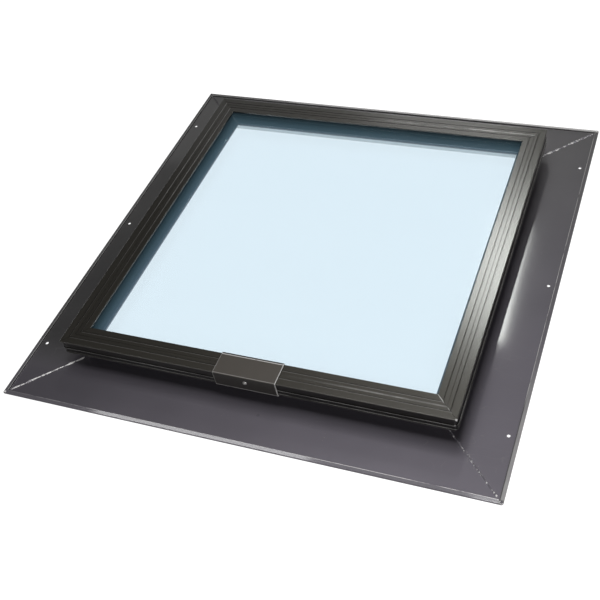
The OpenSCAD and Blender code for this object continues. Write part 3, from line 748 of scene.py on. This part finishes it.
class SKYLIGHT_OT_corner_welds(Skylight, bpy.types.Operator):
    """Lays a lumpy bead on each flange mitre and up each corner of the curb"""

    bl_idname = "skylight.corner_welds"
    bl_label = "Corner Welds"

    # Bare share at each corner; it also sets the coat's tone, and the low far left value paints shade on
    # that seam.
    BARE_AND_SHADE_SHARES = {"far_right": 0.62, "far_left": 0.1, "near_left": 0.85, "near_right": 0.45}
    WIDTH_SHARES = {"far_right": 1.5, "far_left": 0.9, "near_left": 1.1, "near_right": 0.75}
    SMOOTH_ANGLE = 50

    # Bead on the flange: points over it, ring spacing, run-out and how far it strays and sinks
    FLAT_POINTS = 9
    FLAT_STEP = 0.4 * MM
    TAPER_LENGTH = 3 * MM
    TAPER_END = 0.05
    WANDER = 1.0 * MM
    SINK = 0.02 * MM

    # Its mean size and swings as shares of the full size, and the sweep of a ripple in ripple lengths
    FLAT_MEAN = 0.72
    HEIGHT_SWING = 0.45
    WIDTH_SWING = 0.55
    FLAT_RIPPLE = 0.14
    RIPPLE_SWEEP = 0.35

    # Bead up the wall: points round it, the arc in degrees, ring spacing, mean size and swings
    WALL_POINTS = 12
    WALL_ARC = 270
    WALL_STEP = 0.5 * MM
    WALL_MEAN = 0.95
    WALL_SWING = 0.15
    WALL_RIPPLE = 0.12

    # Lump at the tip of the flange
    TACK_INSET = 3.4 * MM
    TACK_HEIGHT = 2.4 * MM
    TACK_RADII = (2.4 * MM, 2.4 * MM, 1.5 * MM)
    TACK_LUMP = 0.18

    # Noise cycles to the metre
    WANDER_RATE = 90
    HEIGHT_RATE = 170
    WIDTH_RATE = 140
    WALL_RATE = 150
    TACK_RATE = 700

    def execute(self, context):
        colours = context.scene.skylight_colours
        sizes = context.scene.skylight_sizes
        for corner, signs in CORNERS.items():
            draw = random.Random(f"{sizes.seed} {corner}")
            finish = weld_finish("weld_" + corner, colours, self.BARE_AND_SHADE_SHARES[corner])
            piece = piece_from(
                "weld_bead_" + corner,
                lambda shape: self.beads(shape, signs, sizes, draw, self.WIDTH_SHARES[corner]),
                finish, "corner_weld_" + corner)
            smooth_by_angle(piece, self.SMOOTH_ANGLE)
        return {"FINISHED"}

    def beads(self, shape, signs, sizes, draw, width_share):
        outward = Vector((signs[0], signs[1], 0)).normalized()
        sideways = Vector((-outward.y, outward.x, 0))
        self.flange_bead(shape, outward, sideways, sizes, draw, sizes.weld_width * width_share)
        self.wall_bead(shape, outward, sideways, sizes, draw)
        self.hem_tack(shape, signs, draw)

    def ripple(self, run, depth, sizes):
        """Share of the full size at a place along a bead, from 1 at a crest to less in a trough."""
        return 1 - depth + depth * math.cos(2 * math.pi * run / sizes.weld_ripple)

    def flange_bead(self, shape, outward, sideways, sizes, draw, width):
        """A low bead with ripples, along the mitre of the flange."""
        start, end = FLANGE_BEAD_START, FLANGE_BEAD_END
        count = int((end - start) / self.FLAT_STEP)
        phase = draw.uniform(0, 9)
        rings = []
        for i in range(count + 1):
            run = start + (end - start) * i / count
            from_end = min(run - start, end - run)
            taper = min(1.0, from_end / self.TAPER_LENGTH + self.TAPER_END)
            wander = noise.noise((run * self.WANDER_RATE, phase, 0)) * self.WANDER
            lump = self.FLAT_MEAN + self.HEIGHT_SWING * noise.noise((run * self.HEIGHT_RATE, phase, 5))
            spread = self.FLAT_MEAN + self.WIDTH_SWING * noise.noise((run * self.WIDTH_RATE, phase, 9))
            half = width / 2 * taper * spread
            height = BEAD_HEIGHT * taper * lump * self.ripple(run, self.FLAT_RIPPLE, sizes)
            centre = outward * run + sideways * wander + Vector((0, 0, SHEET))
            ring = []
            for k in range(self.FLAT_POINTS):
                share = k / (self.FLAT_POINTS - 1) * 2 - 1
                rise = height * (1 - share * share)
                back = -self.RIPPLE_SWEEP * sizes.weld_ripple * (1 - abs(share))
                ring.append(centre + sideways * (half * share) + outward * back + Vector((0, 0, rise)))
            for side in (0.5, -0.5):
                ring.append(centre + sideways * half * side + Vector((0, 0, -self.SINK)))
            rings.append(ring)
        loft(shape, rings)

    def wall_bead(self, shape, outward, sideways, sizes, draw):
        """A rounded bead up the corner of the curb wall."""
        low, high = WALL_BEAD_LOW, WELD_HIGH
        phase = draw.uniform(0, 9)
        count = int((high - low) / self.WALL_STEP)
        rings = []
        for i in range(count + 1):
            height = low + (high - low) * i / count
            lump = self.WALL_MEAN + self.WALL_SWING * noise.noise((height * self.WALL_RATE, phase, 2))
            radius = WALL_BEAD_RADIUS * self.ripple(height, self.WALL_RIPPLE, sizes) * lump
            centre = outward * WALL_CORNER + Vector((0, 0, height))
            ring = [centre]
            for k in range(self.WALL_POINTS + 1):
                angle = math.radians(-self.WALL_ARC / 2 + self.WALL_ARC * k / self.WALL_POINTS)
                out_part = outward * (radius * math.cos(angle))
                side_part = sideways * (radius * math.sin(angle))
                ring.append(centre + out_part + side_part)
            rings.append(ring)
        loft(shape, rings)

    def hem_tack(self, shape, signs, draw):
        """A small lump that joins the ends of the hems at the tip of the flange."""
        inset = FLANGE_HALF - self.TACK_INSET
        place = Matrix.Translation((signs[0] * inset, signs[1] * inset, self.TACK_HEIGHT))
        size = Matrix.Diagonal((*self.TACK_RADII, 1))
        tack = bmesh.ops.create_uvsphere(shape, u_segments=20, v_segments=12, radius=1, matrix=place @ size)
        phase = draw.uniform(0, 9)
        for point in tack["verts"]:
            lump = noise.noise(Vector((0, 0, phase)) + point.co * self.TACK_RATE)
            point.co += (point.co - place.translation) * self.TACK_LUMP * lump


class SKYLIGHT_OT_glass_unit(Skylight, bpy.types.Operator):
    """Finishes the sealed glass unit: panes, spacer bars, keys, drying fill and seals"""

    bl_idname = "skylight.glass_unit"
    bl_label = "Glass Unit"

    def execute(self, context):
        colours = context.scene.skylight_colours
        cover = context.scene.skylight_sizes.glass_cover
        dress(glass_finish(colours, cover), "inner_pane", "outer_pane")
        dress(spacer_finish(colours), *("spacer_" + side for side in SIDES))
        dress(rubber_finish("sealant", colours.rubber), "inner_butyl_seal", "outer_butyl_seal", "edge_seal")
        dress(grain_finish("key_plastic", colours.keys, scale=900, rough=0.55), "spacer_corner_keys")
        dress(grain_finish("drying_beads", colours.drying_fill, scale=1400, rough=0.85), "desiccant")
        return {"FINISHED"}


class SKYLIGHT_OT_glazing(Skylight, bpy.types.Operator):
    """Finishes the tapes, the gasket and the rubber blocks round the glass"""

    bl_idname = "skylight.glazing"
    bl_label = "Tapes, Gasket and Blocks"

    def execute(self, context):
        colours = context.scene.skylight_colours
        tape = rubber_finish("foam_tape", tone(colours.rubber, 1.6))
        dress(tape, *("glazing_tape_" + side for side in SIDES))
        rubber = rubber_finish("moulded_rubber", colours.rubber)
        dress(rubber, "frame_gasket", "setting_blocks", "edge_blocks")
        return {"FINISHED"}


class SKYLIGHT_OT_retaining_frame(Skylight, bpy.types.Operator):
    """Finishes the folded bronze frame"""

    bl_idname = "skylight.retaining_frame"
    bl_label = "Retaining Frame"

    def execute(self, context):
        dress(frame_finish(context.scene.skylight_colours), "retaining_frame")
        return {"FINISHED"}


class SKYLIGHT_OT_joint_clip(Skylight, bpy.types.Operator):
    """Finishes the clip over the frame joint, the plate behind it and their screw"""

    bl_idname = "skylight.joint_clip"
    bl_label = "Joint Clip"

    def execute(self, context):
        colours = context.scene.skylight_colours
        dress(clip_finish(colours), "joint_clip")
        plate = grain_finish("mill_plate", colours.bare_metal, scale=500, rough=0.4)
        dress(plate, "joint_backing_plate")
        dress(screw_finish(colours), "clip_screw")
        return {"FINISHED"}


class SKYLIGHT_OT_stage(Skylight, bpy.types.Operator):
    """Sets the floor, the lights, the dim room and the camera"""

    bl_idname = "skylight.stage"
    bl_label = "Studio"

    FLOOR_HALF = 12
    FLOOR_GAP = 0.1 * MM
    SENSOR_WIDTH = 36
    LOOK_AT = Vector((0, 0, 0.03))
    DOWN = Vector((0, 0, -1))
    HIGH = 2.5

    # Panels of light: those with no facing look at the skylight
    LIGHTS = {
        "far_light": {"place": (-0.283, 2.29, HIGH), "size": (0.2, 0.82), "facing": DOWN, "turn": 2.3,
                      "colour": (0.965, 1.0, 0.955)},
        "top_light": {"place": (-1.24, -0.14, HIGH), "size": (1.02, 0.14), "facing": DOWN},
        "over_light": {"place": (-0.18, 0.4, HIGH), "size": (1.1, 1.0), "facing": DOWN},
        "fore_light": {"place": (0.3, -0.4, HIGH), "size": (0.7, 0.5), "facing": DOWN},
        "rear_light": {"place": (-0.85, 3.35, HIGH), "size": (0.9, 0.5), "facing": DOWN},
        "side_light": {"place": (1.05, -1.25, 1.1), "size": (0.7, 0.5)},
        "front_light": {"place": (-1.2, -1.6, 1.9), "size": (0.7, 0.7)},
        "back_light": {"place": (-0.4, 3.2, 0.7), "size": (2.0, 0.8)},
        "corner_light": {"place": (-2.0, 3.25, HIGH), "size": (1.4, 0.8), "facing": DOWN},
    }

    def execute(self, context):
        stage = context.scene.skylight_stage
        self.floor(context, context.scene.skylight_colours)
        for name, panel in self.LIGHTS.items():
            self.soft_light(context, name, getattr(stage, name), **panel)
        self.room(context, stage.room)
        self.camera(context, stage)
        context.scene.view_settings.view_transform = "Standard"
        return {"FINISHED"}

    def floor(self, context, colours):
        mesh = bpy.data.meshes.new("studio_floor")
        half = self.FLOOR_HALF
        low = CAD_BOX[0].z - self.FLOOR_GAP
        corners = [(-half, -half, low), (half, -half, low), (half, half, low), (-half, half, low)]
        mesh.from_pydata(corners, [], [(0, 1, 2, 3)])
        mesh.materials.append(floor_finish(colours))
        floor = bpy.data.objects.new("studio_floor", mesh)
        context.scene.collection.objects.link(floor)

    def soft_light(self, context, name, power, place, size, facing=None, turn=0, colour=WHITE[:3]):
        lamp = bpy.data.lights.new(name, "AREA")
        lamp.shape = "RECTANGLE"
        lamp.size, lamp.size_y = size
        lamp.energy = power
        lamp.color = colour
        light = bpy.data.objects.new(name, lamp)
        light.location = place
        aim = facing or self.LOOK_AT - Vector(place)
        turned = Quaternion((0, 0, 1), math.radians(turn)) @ aim.to_track_quat("-Z", "Y")
        light.rotation_euler = turned.to_euler()
        context.scene.collection.objects.link(light)

    def room(self, context, strength):
        """A white backdrop that lights the object only dimly."""
        world = bpy.data.worlds.new("dim_room")
        world.use_nodes = True
        nodes = Nodes(world.node_tree)
        seen = nodes.node("ShaderNodeLightPath", out="Is Camera Ray")
        brightness = nodes.node("ShaderNodeMapRange", inputs={"Value": seen, "To Min": strength})
        backdrop = nodes.node("ShaderNodeBackground", inputs={"Color": WHITE, "Strength": brightness})
        nodes.node("ShaderNodeOutputWorld", inputs={"Surface": backdrop})
        context.scene.world = world

    def camera(self, context, stage):
        data = bpy.data.cameras.new("photo_camera")
        data.lens = stage.lens
        data.sensor_width = self.SENSOR_WIDTH
        data.shift_x, data.shift_y = stage.camera_shift
        camera = bpy.data.objects.new("photo_camera", data)
        camera.location = stage.camera_place
        camera.rotation_euler = stage.camera_turn
        context.scene.collection.objects.link(camera)
        context.scene.camera = camera


OPERATORS = (
    SKYLIGHT_OT_flashing,
    SKYLIGHT_OT_corner_welds,
    SKYLIGHT_OT_glass_unit,
    SKYLIGHT_OT_glazing,
    SKYLIGHT_OT_retaining_frame,
    SKYLIGHT_OT_joint_clip,
    SKYLIGHT_OT_stage,
)


class SKYLIGHT_PT_panel(bpy.types.Panel):
    """Lists the steps that dress the skylight"""

    bl_idname = "SKYLIGHT_PT_panel"
    bl_label = "Roof Skylight"
    bl_space_type = "VIEW_3D"
    bl_region_type = "UI"
    bl_category = "Skylight"

    def draw(self, context):
        for operator in OPERATORS:
            self.layout.operator(operator.bl_idname)


GROUPS = {
    "skylight_colours": SkylightColours,
    "skylight_sizes": SkylightSizes,
    "skylight_stage": SkylightStage,
}


def register():
    for kind in (*GROUPS.values(), *OPERATORS, SKYLIGHT_PT_panel):
        bpy.utils.register_class(kind)
    for name, group in GROUPS.items():
        setattr(bpy.types.Scene, name, PointerProperty(type=group))


def unregister():
    for name in GROUPS:
        delattr(bpy.types.Scene, name)
    for kind in reversed((*GROUPS.values(), *OPERATORS, SKYLIGHT_PT_panel)):
        bpy.utils.unregister_class(kind)


def main():
    register()
    bpy.ops.skylight.flashing()
    bpy.ops.skylight.corner_welds()
    bpy.ops.skylight.glass_unit()
    bpy.ops.skylight.glazing()
    bpy.ops.skylight.retaining_frame()
    bpy.ops.skylight.joint_clip()
    bpy.ops.skylight.stage()


if __name__ == "__main__":
    main()
